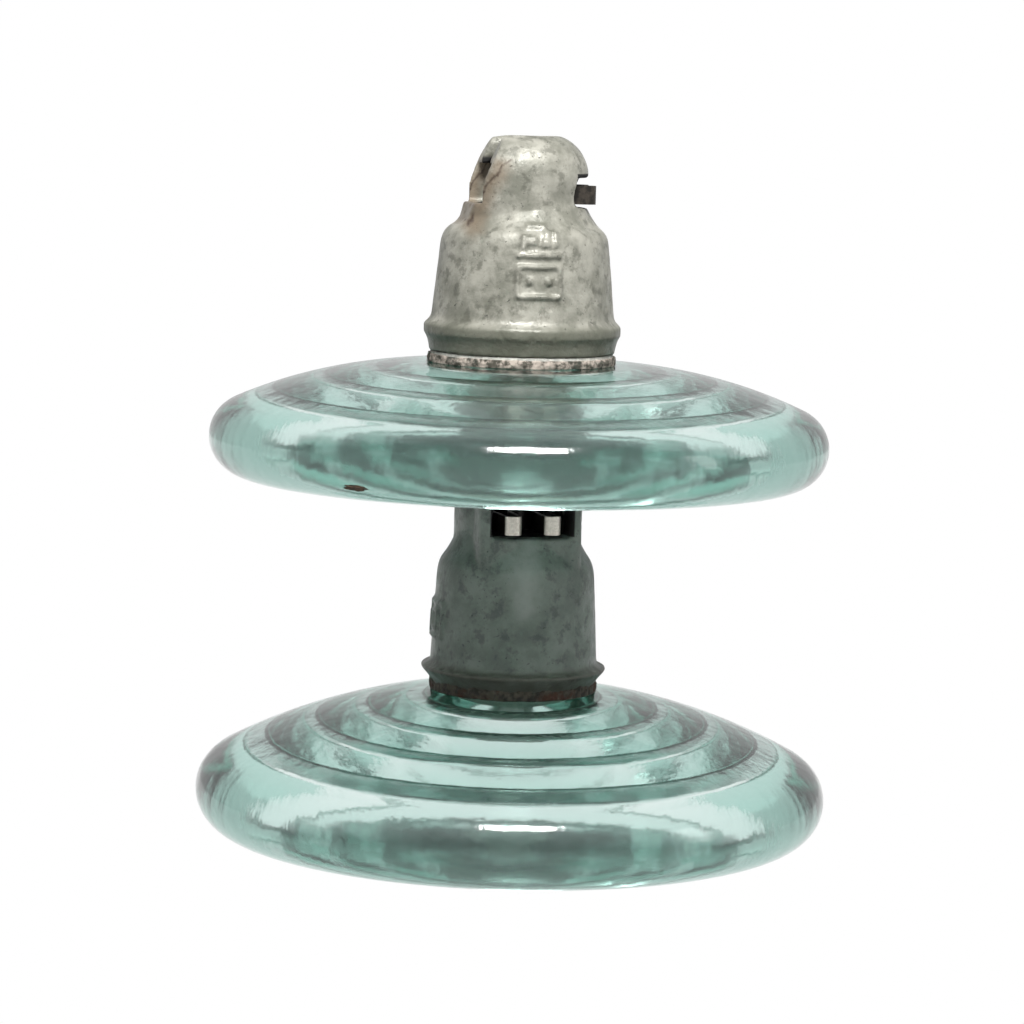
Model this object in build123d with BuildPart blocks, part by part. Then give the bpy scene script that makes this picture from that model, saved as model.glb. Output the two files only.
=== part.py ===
from build123d import *
import os
from math import sqrt

# Suspension string of two toughened-glass disc insulators, coupled by ball and socket.
# The origin is the centre of the upper socket's spherical seat, with +Z up and +X the side
# of the upper clip's window. Each unit is modelled about its own socket centre and hung one
# coupling spacing below the unit above it.

# ---- Coupling, size 16 ----
SPACING = 134.0                # socket centre to ball centre of one unit
BALL_RADIUS = 16.5
BALL_SEAT_RADIUS = 22.0        # spherical shoulder of the ball
BALL_HEIGHT = 13.4
BALL_LAND = 4.2                # cylindrical band round the ball
BALL_FACE_RADIUS = 10.5
SHANK_RADIUS = 8.2
SEAT_CLEARANCE = 0.3
NECK_HALF_WIDTH = 10.4         # slot that the shank stands in
NECK_FLARE = 3.0
POCKET_RADIUS = 18.1
ENTRANCE_HALF_WIDTH = 17.3
LIP = 6.0                      # metal above the seat, at the neck
WEB = 9.0                      # metal between the socket and the bell

# ---- Security clip, a flat strip bent to a W ----
STRIP = 1.6
CLIP_HEIGHT = 7.6
CLIP_FLOOR_GAP = 0.3
CLIP_BALL_GAP = 1.8
BEND_RADIUS = 3.05             # middle line of each bend in the window
BEND_OFFSET = 8.25             # each bend to the side of the middle
BEND_REACH = 27.5              # bends' outer face from the socket's axis
PEAK_REACH = 1.5               # middle bend's outer face from the socket's axis
TIP_REACH = 10.8               # tips past the socket's axis
TIP_OFFSET = 15.3
LEG_SPREAD = 2.9               # the legs open by this much before the tips
TIP_LENGTH = 2.6
WINDOW_WIDTH = 34.5
WINDOW_HEIGHT = 12.2
WINDOW_SILL = 1.2              # window's sill below the socket's floor
WINDOW_CORNER = 2.4
WINDOW_DRAFT = 1.6             # each side narrows by this much inwards, which keeps the tips in

# ---- Cap casting ----
HEAD_RADIUS = 25.5
DOME_RADIUS = 17.0
WAIST_RADIUS = 24.6
WAIST_DROP = 1.0               # waist below the socket centre
JAW_REACH = 2.5                # the jaws stand this much ahead of a round head
BEAD_SPREAD = 2.5              # the bell curves out to its bead over this height
CAP_WALL = 6.2
PAD_FACE = 25.5                # flat pad round the lower window
PAD_HALF_WIDTH = 22.0
PAD_CORNER = 5.0
PAD_ROUND = 5.0
FRAME_WIDTH = 15.0             # cast frames of the foundry marks, left without letters
FRAME_HEIGHTS = (14.0, 11.5)
FRAME_GAP = 4.0
FRAME_LINE = 1.3
FRAME_RAISE = 0.8
PIP_RADIUS = 1.2

CASTING_ROUND = 1.0            # edges that the moulder leaves round

# ---- Glass shell ----
HEAD_CUSHION = 2.5
CEMENT = 3.6                   # between the cap and the glass head
CEMENT_STEP = 0.6              # cement below the skirt stands back from its edge
CEMENT_BED = 2.0
GLASS_ROOF = 10.2              # glass above the pin hole
HEAD_ROUND = 7.0
HEAD_TAPER = 1.2               # the head narrows by this much towards the neck
COLLAR_STEP = 1.0              # the dome starts this far outside the skirt
HOLE_ROUND = 5.5
HOLE_FLARE = 20.0              # height of the wider mouth of the pin hole
PIN_HOLE_RADIUS = 17.5
PIN_HOLE_MOUTH = 20.0
RIB_RADII = (50.0, 70.0, 90.0)
RIB_TIP = 3.4                  # half width of a rib at its tip
RIB_ROOT = 6.0                 # half width of a rib at its root
RIB_DROP = 14.0                # rib tips below the widest circle
RIB_ROUND = 2.6
SHED_WALL = 11.0
RIM_INSIDE = 3.0               # inner face of the rim's bulb, inside the bulb's middle
RIM_DRAFT = 3.0
CORE_DRAFT = 3.0
CORE_WALL = 11.0               # glass round the pin hole at its mouth
CORE_CLEARANCE = 4.5           # between this glass and the next unit's cap

# ---- Pin ----
PIN_CUSHION = 2.5
PIN_HEAD_RADIUS = 13.2
PIN_HEAD_HEIGHT = 22.0
PIN_CEMENT_DEPTH = 12.0        # lower face of the pin cement above the mouth of its hole

# ---- The two units, which are of different makes ----
LOWER_TURN = -85.0             # lower unit's turn about the string, degrees
UPPER = dict(name="upper", level=0, turn=0.0, pad=False,
             shoulder_radius=34.8, shoulder_drop=21.0, bell_radius=37.6,
             bead_radius=40.6, bead_drop=54.2, bead_flat=3.5, skirt_radius=38.2, skirt_drop=63.5,
             disc_radius=127.5, disc_drop=100.1, rim_radius=15.9, rim_turn=24.4, glass_rise=32.0)
LOWER = dict(name="lower", level=1, turn=LOWER_TURN, pad=True,
             shoulder_radius=32.8, shoulder_drop=22.5, bell_radius=34.6,
             bead_radius=38.4, bead_drop=60.2, bead_flat=0.8, skirt_radius=33.6, skirt_drop=68.2,
             disc_radius=130.5, disc_drop=112.4, rim_radius=17.0, rim_turn=28.0, glass_rise=42.4)

# ---- Heights that follow, from the socket centre ----
seat_radius = BALL_SEAT_RADIUS + SEAT_CLEARANCE
neck_rise = sqrt(seat_radius**2 - NECK_HALF_WIDTH**2)
pocket_rise = sqrt(seat_radius**2 - POCKET_RADIUS**2)
cap_top = neck_rise + LIP
ball_top = sqrt(BALL_SEAT_RADIUS**2 - SHANK_RADIUS**2)
ball_shoulder = sqrt(BALL_SEAT_RADIUS**2 - BALL_RADIUS**2)
ball_face = ball_top - BALL_HEIGHT
clip_top = ball_face - CLIP_BALL_GAP
clip_base = clip_top - CLIP_HEIGHT
socket_floor = clip_base - CLIP_FLOOR_GAP
bell_roof = socket_floor - WEB
glass_top = bell_roof - HEAD_CUSHION
hole_top = glass_top - GLASS_ROOF
pin_top = hole_top - PIN_CUSHION
core_base = -SPACING + cap_top + CORE_CLEARANCE


def hang(part, unit):
    """Put a finished piece of a unit at the unit's own level and turn."""
    return part.moved(Location((0, 0, -SPACING * unit["level"]), (0, 0, unit["turn"])))


def keep(part, label):
    """Label a finished piece and write its file."""
    part.label = label
    export_step(part, f"parts/{label}.step")


# ---- Cap ----
def cap_outside(unit, grow=0.0):
    """The casting's turned outside as a solid, grown sideways to carry the raised marks."""
    dome_side = HEAD_RADIUS - DOME_RADIUS + grow
    skirt = (unit["skirt_radius"] + grow, -unit["skirt_drop"])
    shoulder = (unit["shoulder_radius"] + grow, -unit["shoulder_drop"])
    slope = (0.45 * WAIST_RADIUS + 0.55 * unit["shoulder_radius"] + grow, -0.55 * unit["shoulder_drop"])
    bead = unit["bead_radius"] + grow
    bead_top = -unit["bead_drop"] + unit["bead_flat"] / 2
    bell_end = (unit["bell_radius"] + grow, bead_top + unit["bead_flat"] / 2 + BEAD_SPREAD)
    with BuildPart() as outside:
        with BuildSketch(Plane.XZ):
            with BuildLine():
                Polyline(skirt, (0, -unit["skirt_drop"]), (0, cap_top), (dome_side, cap_top))
                dome = RadiusArc((dome_side, cap_top), (dome_side + DOME_RADIUS, cap_top - DOME_RADIUS),
                                 DOME_RADIUS)
                waist = Spline(dome @ 1, (WAIST_RADIUS + grow, -WAIST_DROP), slope, shoulder,
                               tangents=((0, -1), (0.08, -1)))
                Line(waist @ 1, bell_end)
                crest = Spline(bell_end, (bead, bead_top), tangents=((0.08, -1), (0.8, -1)))
                base = Line(crest @ 1, (bead, bead_top - unit["bead_flat"]))
                Spline(base @ 1, skirt, tangents=((-0.8, -1), (-0.15, -1)))
            make_face()
        revolve(axis=Axis.Z)
    return outside.part


def cap_jaws(unit):
    """The round head moved ahead, as metal for the two jaws of the entrance."""
    low = -unit["shoulder_drop"] + 3
    with BuildPart() as jaws:
        with BuildSketch(Plane.XY.offset(low)):
            with Locations((-JAW_REACH, 0)):
                Circle(HEAD_RADIUS)
        extrude(amount=cap_top - low)
        fillet(jaws.edges().group_by(Axis.Z)[-1], DOME_RADIUS)
    return jaws.part


def cap_pad(unit):
    """Square back of the head, whose face is the flat pad round the window."""
    low = -unit["shoulder_drop"] - 4
    with BuildPart() as pad:
        with BuildSketch(Plane.XY.offset(low)):
            with Locations((PAD_FACE / 2 + PAD_CORNER, 0)):
                RectangleRounded(PAD_FACE - 2 * PAD_CORNER, 2 * PAD_HALF_WIDTH, PAD_CORNER)
        extrude(amount=cap_top - PAD_ROUND - low)
        fillet(pad.edges().group_by(Axis.Z)[-1].filter_by(GeomType.LINE), PAD_CORNER - 0.5)
    return pad.part


def mark_frames(unit):
    """Two raised frames on the bell, one above the other, with plain pips inside."""
    top = -unit["shoulder_drop"] + 1
    with BuildPart() as marks:
        for height, rows in zip(FRAME_HEIGHTS, (2, 1)):
            with BuildSketch(Plane.XZ.offset(unit["shoulder_radius"] - CAP_WALL / 2)):
                with Locations((0, top - height / 2)):
                    Rectangle(FRAME_WIDTH, height)
                    Rectangle(FRAME_WIDTH - 2 * FRAME_LINE, height - 2 * FRAME_LINE, mode=Mode.SUBTRACT)
                    with GridLocations(FRAME_WIDTH / 3, height / 3, 2, rows):
                        Circle(PIP_RADIUS)
            extrude(amount=2 * CAP_WALL)
            top -= height + FRAME_GAP
        add(cap_outside(unit, FRAME_RAISE), mode=Mode.INTERSECT)
    return marks.part


def socket_hollow():
    """Space for the ball, its entrance from -X and the slot for the shank."""
    above = cap_top + 4
    flare = NECK_HALF_WIDTH + NECK_FLARE + 4
    with BuildPart() as hollow:
        with BuildSketch(Plane.YZ):
            with BuildLine():
                Polyline((POCKET_RADIUS, pocket_rise), (POCKET_RADIUS, socket_floor), (0, socket_floor),
                         (0, above), (flare, above), (NECK_HALF_WIDTH, cap_top - NECK_FLARE),
                         (NECK_HALF_WIDTH, neck_rise))
                RadiusArc((NECK_HALF_WIDTH, neck_rise), (POCKET_RADIUS, pocket_rise), seat_radius)
            make_face()
        revolve(axis=Axis.Z)
        with BuildSketch(Plane.YZ):
            with Locations((0, (socket_floor + pocket_rise) / 2)):
                Rectangle(2 * ENTRANCE_HALF_WIDTH, pocket_rise - socket_floor)
            with BuildLine():
                Polyline((-NECK_HALF_WIDTH, socket_floor), (NECK_HALF_WIDTH, socket_floor),
                         (NECK_HALF_WIDTH, cap_top - NECK_FLARE), (flare, above), (-flare, above),
                         (-NECK_HALF_WIDTH, cap_top - NECK_FLARE), close=True)
            make_face()
        extrude(amount=-2 * HEAD_RADIUS)
    return hollow.part


def window_hollow():
    """Window in the back of the head, from just below the socket's floor."""
    mouth = (BEND_REACH + 2, WINDOW_WIDTH / 2)
    inner = (sqrt(POCKET_RADIUS**2 - mouth[1]**2), WINDOW_WIDTH / 2 - WINDOW_DRAFT)
    with BuildPart() as window:
        with BuildSketch(Plane.XY.offset(socket_floor - WINDOW_SILL)):
            Polygon(mouth, inner, (inner[0], -inner[1]), (mouth[0], -mouth[1]), align=None)
        extrude(amount=WINDOW_HEIGHT)
        fillet(window.edges().filter_by(Axis.Z, reverse=True).filter_by(Axis.Y, reverse=True), WINDOW_CORNER)
    return window.part


def jaw_relief():
    """Everything ahead of the curved front faces of the jaws."""
    with BuildPart() as relief:
        with BuildSketch(Plane.XZ):
            with BuildLine():
                front = ThreePointArc((-11.5, cap_top + 1), (-20.5, 6), (-25.2, -8))
                sill = TangentArc(front @ 1, (-31, -12), tangent=front % 1)
                Polyline(sill @ 1, (-60, -20), (-60, cap_top + 1), front @ 0)
            make_face()
        extrude(amount=2 * HEAD_RADIUS, both=True)
    return relief.part


def bell_hollow(unit):
    """Inside of the bell, which narrows towards its mouth so that the cement wedges there."""
    inside = unit["shoulder_radius"] - CAP_WALL
    with BuildPart() as hollow:
        with BuildSketch(Plane.XZ):
            with BuildLine():
                roof = Line((0, bell_roof), (inside - 7, bell_roof))
                side = Line((inside, bell_roof - 8), (inside, -unit["bead_drop"] + 12))
                Spline(roof @ 1, side @ 0, tangents=((1, 0), (0, -1)))
                throat = Line(side @ 1, (inside - 1.5, -unit["bead_drop"] + 3))
                Polyline(throat @ 1, (unit["skirt_radius"] - 3.2, -unit["skirt_drop"]),
                         (0, -unit["skirt_drop"]), (0, bell_roof))
            make_face()
        revolve(axis=Axis.Z)
    return hollow.part


def build_cap(unit):
    with BuildPart() as cap:
        add(cap_outside(unit))
        add(cap_jaws(unit))
        if unit["pad"]:
            add(cap_pad(unit))
        add(mark_frames(unit))
        add(jaw_relief(), mode=Mode.SUBTRACT)
        add(socket_hollow(), mode=Mode.SUBTRACT)
        slot = cap.edges(Select.LAST)
        fillet(slot.filter_by(lambda edge: edge.center().Z > cap_top - NECK_FLARE - 2), CASTING_ROUND)
        add(bell_hollow(unit), mode=Mode.SUBTRACT)
        add(window_hollow(), mode=Mode.SUBTRACT)
        mouth = cap.edges(Select.LAST)
        fillet(mouth.filter_by(lambda edge: edge.center().X > POCKET_RADIUS + 2), CASTING_ROUND)
    return cap.part


# ---- Glass shell ----
def collar(unit):
    """Where the dome meets the cement, at the foot of the cap's skirt."""
    return Vector(unit["skirt_radius"] + COLLAR_STEP, -unit["disc_drop"] + unit["glass_rise"])


def rim_point(unit, turn):
    """Point of the rim's round bulb at an angle from its crown."""
    spoke = Vector(0, unit["rim_radius"]).rotate(Axis.Z, -turn)
    return Vector(unit["disc_radius"] - unit["rim_radius"], -unit["disc_drop"]) + spoke


def dome_radius(unit):
    """Radius of the dome's arc, which leaves the collar and meets the rim's bulb in a tangent."""
    span = rim_point(unit, unit["rim_turn"]) - collar(unit)
    normal = Vector(0, 1).rotate(Axis.Z, -unit["rim_turn"])
    return span.length**2 / (2 * span.dot(normal))


def dome_height(unit, radius):
    """Height of the dome's outside at a radius, from the socket centre."""
    arc = dome_radius(unit)
    centre = rim_point(unit, unit["rim_turn"]) - Vector(0, arc).rotate(Axis.Z, -unit["rim_turn"])
    return centre.Y + sqrt(arc**2 - (radius - centre.X) ** 2)


def glass_outside(unit):
    """Head, dome and rim of the glass as a solid, down to the lowest circle of the rim."""
    head = unit["shoulder_radius"] - CAP_WALL - CEMENT
    low = rim_point(unit, 180)
    with BuildPart() as glass:
        with BuildSketch(Plane.XZ):
            with BuildLine():
                crown = Line((0, glass_top), (head - HEAD_ROUND, glass_top))
                cheek = RadiusArc(crown @ 1, (head, glass_top - HEAD_ROUND), HEAD_ROUND)
                side = Line(cheek @ 1, (head - HEAD_TAPER, -unit["bead_drop"] + 4))
                Spline(side @ 1, collar(unit), tangents=((0, -1), (1, -0.35)))
                RadiusArc(collar(unit), rim_point(unit, unit["rim_turn"]), dome_radius(unit))
                ThreePointArc(rim_point(unit, unit["rim_turn"]), rim_point(unit, 90), low)
                Polyline(low, (0, low.Y), (0, glass_top))
            make_face()
        revolve(axis=Axis.Z)
    return glass.part


def under_shed(unit):
    """Space under the shed, between the rim, the ribs and the glass round the pin."""
    zero = -unit["disc_drop"]
    core = PIN_HOLE_MOUTH + CORE_WALL
    low = rim_point(unit, 180)
    foot = low.X - RIM_INSIDE

    def roof(radius):
        return dome_height(unit, radius) - SHED_WALL

    wave = [(core, core_base), (core + CORE_DRAFT, roof(core + CORE_DRAFT))]
    for rib in RIB_RADII:
        wave.append((rib - RIB_ROOT, roof(rib - RIB_ROOT)))
        wave.append((rib - RIB_TIP, zero - RIB_DROP))
        wave.append((rib + RIB_TIP, zero - RIB_DROP))
        wave.append((rib + RIB_ROOT, roof(rib + RIB_ROOT)))
    wave.append((foot - RIM_DRAFT, roof(foot - RIM_DRAFT)))
    wave.append((foot, low.Y + RIM_INSIDE))
    with BuildPart() as space:
        with BuildSketch(Plane.XZ):
            with BuildLine():
                FilletPolyline((PIN_HOLE_MOUTH - 2, core_base), *wave, (low.X, low.Y), radius=RIB_ROUND)
                Polyline((low.X, low.Y), (low.X, low.Y - 5), (PIN_HOLE_MOUTH - 2, low.Y - 5),
                         (PIN_HOLE_MOUTH - 2, core_base))
            make_face()
        revolve(axis=Axis.Z)
    return space.part


def pin_hole(unit):
    """Hole in the glass for the pin and its cement."""
    low = rim_point(unit, 180).Y - 5
    with BuildPart() as hole:
        with BuildSketch(Plane.XZ):
            with BuildLine():
                top = Line((0, hole_top), (PIN_HOLE_RADIUS - HOLE_ROUND, hole_top))
                turn = RadiusArc(top @ 1, (PIN_HOLE_RADIUS, hole_top - HOLE_ROUND), HOLE_ROUND)
                side = Line(turn @ 1, (PIN_HOLE_RADIUS, core_base + HOLE_FLARE))
                Polyline(side @ 1, (PIN_HOLE_MOUTH, core_base), (PIN_HOLE_MOUTH, low), (0, low),
                         (0, hole_top))
            make_face()
        revolve(axis=Axis.Z)
    return hole.part


def build_shell(unit):
    with BuildPart() as shell:
        add(glass_outside(unit))
        add(under_shed(unit), mode=Mode.SUBTRACT)
        add(pin_hole(unit), mode=Mode.SUBTRACT)
    return shell.part


# ---- Cement and cushions ----
def build_head_cushion(unit):
    """Soft pad between the crown of the glass and the roof of the bell."""
    with BuildPart() as cushion:
        with BuildSketch(Plane.XY.offset(glass_top)):
            Circle(unit["shoulder_radius"] - CAP_WALL - CEMENT - HEAD_ROUND)
        extrude(amount=HEAD_CUSHION)
    return cushion.part


def build_cap_cement(unit):
    """Cement that fills the bell round the glass head and stands out a little below the skirt."""
    foot = collar(unit).Y - CEMENT_BED
    with BuildPart() as cement:
        with BuildSketch(Plane.XY.offset(-unit["skirt_drop"])):
            Circle(unit["skirt_radius"] - CEMENT_STEP)
        extrude(amount=foot + unit["skirt_drop"])
        add(bell_hollow(unit))
        add(glass_outside(unit), mode=Mode.SUBTRACT)
        add(build_head_cushion(unit), mode=Mode.SUBTRACT)
    return cement.part


def build_pin_cushion(unit):
    """Soft pad between the head of the pin and the end of its hole."""
    with BuildPart() as cushion:
        with BuildSketch(Plane.XY.offset(pin_top)):
            Circle(PIN_HEAD_RADIUS - 3)
        extrude(amount=PIN_CUSHION)
    return cushion.part


def build_pin(unit):
    """Forged pin: conical head in the cement, straight shank, and ball at the lower end."""
    ball = -SPACING
    head_low = pin_top - PIN_HEAD_HEIGHT
    with BuildPart() as pin:
        with BuildSketch(Plane.XZ):
            with BuildLine():
                Polyline((0, pin_top), (PIN_HEAD_RADIUS - 2, pin_top), (PIN_HEAD_RADIUS, pin_top - 3),
                         (PIN_HEAD_RADIUS - 1.6, pin_top - 9), (PIN_HEAD_RADIUS - 0.8, pin_top - 11),
                         (SHANK_RADIUS, head_low), (SHANK_RADIUS, ball + ball_top))
                RadiusArc((SHANK_RADIUS, ball + ball_top), (BALL_RADIUS, ball + ball_shoulder), BALL_SEAT_RADIUS)
                Line((BALL_RADIUS, ball + ball_shoulder), (BALL_RADIUS, ball + ball_shoulder - BALL_LAND))
                Spline((BALL_RADIUS, ball + ball_shoulder - BALL_LAND), (BALL_FACE_RADIUS, ball + ball_face),
                       tangents=((0, -1), (-1, 0)))
                Polyline((BALL_FACE_RADIUS, ball + ball_face), (0, ball + ball_face), (0, pin_top))
            make_face()
        revolve(axis=Axis.Z)
    return pin.part


def build_pin_cement(unit):
    """Cement that fills the hole of the glass round the pin."""
    with BuildPart() as cement:
        add(pin_hole(unit))
        with BuildSketch(Plane.XY.offset(core_base + PIN_CEMENT_DEPTH)):
            Circle(2 * PIN_HOLE_MOUTH)
        extrude(amount=-SPACING, mode=Mode.SUBTRACT)
        add(build_pin(unit), mode=Mode.SUBTRACT)
        add(build_pin_cushion(unit), mode=Mode.SUBTRACT)
    return cement.part


# ---- Security clip ----
def build_clip():
    """One strip on edge: middle bend under the ball, two bends in the window, two sprung legs."""
    bend_x = BEND_REACH - BEND_RADIUS - STRIP / 2
    inner = BEND_OFFSET - BEND_RADIUS
    outer = BEND_OFFSET + BEND_RADIUS
    peak_x = PEAK_REACH + inner + STRIP / 2
    leg_end = (TIP_LENGTH - TIP_REACH, outer + LEG_SPREAD)
    tip = (-TIP_REACH, TIP_OFFSET)
    with BuildPart() as clip:
        with BuildLine(Plane.XY.offset(clip_base)) as path:
            for side in (1, -1):
                FilletPolyline((bend_x, side * outer), (bend_x - 9, side * outer), (leg_end[0], side * leg_end[1]),
                               (tip[0], side * tip[1]), radius=2.0)
                ThreePointArc((bend_x, side * outer), (bend_x + BEND_RADIUS, side * BEND_OFFSET),
                              (bend_x, side * inner))
                Line((bend_x, side * inner), (peak_x, side * inner))
            ThreePointArc((peak_x, inner), (peak_x - inner, 0), (peak_x, -inner))
        start = Vector(tip[0], tip[1], clip_base)
        along = Vector(leg_end[0] - tip[0], leg_end[1] - tip[1], 0)
        with BuildSketch(Plane(origin=start, x_dir=(0, 0, 1), z_dir=along)):
            with Locations((CLIP_HEIGHT / 2, 0)):
                Rectangle(CLIP_HEIGHT, STRIP)
        sweep(path=path.wires()[0])
    return clip.part


os.makedirs("parts", exist_ok=True)
for unit in (UPPER, LOWER):
    keep(hang(build_cap(unit), unit), f"{unit['name']}_cap")
    keep(hang(build_head_cushion(unit), unit), f"{unit['name']}_head_cushion")
    keep(hang(build_cap_cement(unit), unit), f"{unit['name']}_cap_cement")
    keep(hang(build_shell(unit), unit), f"{unit['name']}_glass_shell")
    keep(hang(build_pin_cement(unit), unit), f"{unit['name']}_pin_cement")
    keep(hang(build_pin_cushion(unit), unit), f"{unit['name']}_pin_cushion")
    keep(hang(build_pin(unit), unit), f"{unit['name']}_pin")
    keep(hang(build_clip(), unit), f"{unit['name']}_clip")
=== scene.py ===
from math import atan2, cos, degrees, pi, radians, sin, sqrt, tan

import bmesh
import bpy
from mathutils import Matrix, Vector, noise
from mathutils.bvhtree import BVHTree


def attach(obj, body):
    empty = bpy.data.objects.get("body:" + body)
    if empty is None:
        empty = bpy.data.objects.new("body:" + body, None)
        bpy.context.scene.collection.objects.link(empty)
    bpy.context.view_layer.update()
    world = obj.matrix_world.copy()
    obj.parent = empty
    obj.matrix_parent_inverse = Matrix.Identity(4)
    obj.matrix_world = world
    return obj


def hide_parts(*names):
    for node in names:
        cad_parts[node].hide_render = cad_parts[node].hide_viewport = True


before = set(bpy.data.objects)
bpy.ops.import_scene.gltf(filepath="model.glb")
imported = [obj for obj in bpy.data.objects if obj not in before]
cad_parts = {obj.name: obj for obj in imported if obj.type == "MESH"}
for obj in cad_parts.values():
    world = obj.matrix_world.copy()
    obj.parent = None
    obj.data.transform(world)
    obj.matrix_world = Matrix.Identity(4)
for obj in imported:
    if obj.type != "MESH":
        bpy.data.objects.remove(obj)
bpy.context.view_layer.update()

MM = 0.001

# ---- Sizes repeated from the part's source, in millimetres ----
SPACING = 134.0            # from socket to socket
LOWER_TURN = -85.0         # turn of the lower unit to the upper, in degrees
RIB_RADII = (50.0, 70.0, 90.0)
RIB_TIP = 3.4              # half the width of a rib's tip, and of its root
RIB_ROOT = 6.0
RIB_DROP = 14.0
RIB_ROUND = 2.6
SHED_WALL = 11.0
RIM_INSIDE = 3.0
RIM_DRAFT = 3.0
CORE_DRAFT = 3.0
CORE_WALL = 11.0
CORE_BASE = -103.774
HEAD_ROUND = 7.0
HEAD_TAPER = 1.2
WAIST_RISE = 4.0           # the glass's waist above the bead's height
HOLE_ROUND = 5.5
HOLE_FLARE = 20.0
PIN_HOLE_RADIUS = 17.5
PIN_HOLE_MOUTH = 20.0
GLASS_TOP = -14.185
HOLE_TOP = -24.385
WINDOW_HALF_WIDTH = 17.25
WINDOW_HALF_HEIGHT = 6.1
WINDOW_MIDDLE = 3.4        # the window's middle above the socket's centre
WINDOW_SHADE_FACE = 20.5         # where the painted shade in the window is centred, from the axis
SOCKET_SHADE_RADIUS = 20.0       # the painted shade in the socket, with its edge half a millimetre wide each way
# top of the painted shade in the socket, above the socket's centre
SOCKET_SHADE_TOP = 16.0
CLIP_FRONT = 29.5          # middle of the bright ends of the clip's bends, from the axis; the rest of the clip is painted shade
UNITS = {
    "upper": dict(level=0.0, turn=0.0, shoulder_radius=34.8, shoulder_drop=21.0, bead_drop=54.2,
                  head_radius=25.0, collar_radius=39.2, disc_radius=127.5, disc_drop=100.1,
                  rim_radius=15.9, rim_turn=24.4, glass_rise=32.0),
    "lower": dict(level=-SPACING, turn=LOWER_TURN, shoulder_radius=32.8, shoulder_drop=22.5, bead_drop=60.2,
                  head_radius=23.0, collar_radius=34.6, disc_radius=130.5, disc_drop=112.4,
                  rim_radius=17.0, rim_turn=28.0, glass_rise=42.4),
}

# ---- Glass ----
CONTACT = 0.06             # how far the glass reaches into the cement, so that no air shows between them
GLASS_HAZE = 0.11
GLASS_TINT = (0.02, 0.56, 0.44, 1.0)
GLASS_DENSITY = 17.0       # per metre

# ---- Castings, in millimetres and degrees ----
SKIN_STEP = 0.8            # size of the facets of the castings' skin
CAST_SWELL = 0.14          # how far the skin sinks and swells
PIT_DEPTH = 0.30
PIT_START = 0.42           # how strong the noise is where a pit begins
PIT_SIDE = 0.3             # how much stronger it is where the pit has its full depth
OUTSIDE = 80.0             # a radius outside every cap
SKIN_GAP = 1.2
OPEN_AIR = 90.0            # a spot with nothing so far ahead of it lies on the outside
MARK_TOP = 2.5             # top of the marks' band above the shoulder
MARK_DEPTH = 3.0           # what lies so far inside the shoulder's radius is no mark
MARK_SPREAD = 22.0         # the marks' reach to each side of their middle
MARK_RUN = 34.0            # height of the band that the marks stand in
PLAIN_SIDE = 26.0          # turn from the marks to the plain skin beside them
MARK_RAISE = 1.3
MARK_ROOT = 2.0            # depth of a raised bar below the skin
MARK_WIDTH = 8.4           # half the width of the foundry marks' frames
MARK_LINE = 1.3

# ---- View and light ----
CAMERA_AZIMUTH = -10.0
CAMERA_DISTANCE = 1.454
CAMERA_HEIGHT = 0.0395
CAMERA_PITCH = 6.65
CAMERA_ROLL = 1.57
CAMERA_YAW = 0.084
CAMERA_LENS = 124.5
FLOOR_LEVEL = -0.62
FLOOR_REACH = 6.0
PALE_ROOM = 0.72           # how pale the room stands in metal and glass
PALE_FLOOR = 1.0           # how pale the floor stands in them
FLOOR_PAINT = 0.8
SOFT_LIGHT = 0.20          # how much light the room gives


def nodes_of(material):
    """Clear a material and return its node tree's nodes, links and output."""
    material.use_nodes = True
    tree = material.node_tree
    tree.nodes.clear()
    output = tree.nodes.new("ShaderNodeOutputMaterial")
    return tree.nodes, tree.links, output


# ---- Pattern groups ----
def new_group(name, inputs, outputs):
    """A shader node group with named inputs and outputs; returns it with its inner sockets."""
    group = bpy.data.node_groups.new(name, "ShaderNodeTree")
    for label, kind, value in inputs:
        socket = group.interface.new_socket(name=label, in_out="INPUT", socket_type=kind)
        socket.default_value = value
    for label, kind in outputs:
        group.interface.new_socket(name=label, in_out="OUTPUT", socket_type=kind)
    start = group.nodes.new("NodeGroupInput")
    end = group.nodes.new("NodeGroupOutput")
    return group, start.outputs, end.inputs


def feed(tree, socket, value):
    """Link a socket to another, or set it to a plain value."""
    if isinstance(value, bpy.types.NodeSocket):
        tree.links.new(value, socket)
    else:
        socket.default_value = value


def math_node(tree, operation, first, second, clamp=False):
    """A Math node fed by sockets or plain numbers."""
    node = tree.nodes.new("ShaderNodeMath")
    node.operation = operation
    node.use_clamp = clamp
    feed(tree, node.inputs[0], first)
    feed(tree, node.inputs[1], second)
    return node.outputs[0]


def vector_node(tree, operation, first, second=None):
    """A Vector Math node fed by sockets or plain vectors."""
    node = tree.nodes.new("ShaderNodeVectorMath")
    node.operation = operation
    feed(tree, node.inputs[0], first)
    if second is not None:
        feed(tree, node.inputs[1], second)
    return node


def ease(tree, value, low, high, start=0.0, stop=1.0):
    """A smooth step of a value from low to high."""
    node = tree.nodes.new("ShaderNodeMapRange")
    node.interpolation_type = "SMOOTHSTEP"
    tree.links.new(value, node.inputs["Value"])
    for label, number in (("From Min", low), ("From Max", high), ("To Min", start), ("To Max", stop)):
        feed(tree, node.inputs[label], number)
    return node.outputs["Result"]


def noise_of(tree, place, scale, detail=4.0, roughness=0.5):
    """A noise texture at a scale per metre."""
    node = tree.nodes.new("ShaderNodeTexNoise")
    tree.links.new(place, node.inputs["Vector"])
    feed(tree, node.inputs["Scale"], scale)
    node.inputs["Detail"].default_value = detail
    node.inputs["Roughness"].default_value = roughness
    return node


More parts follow.
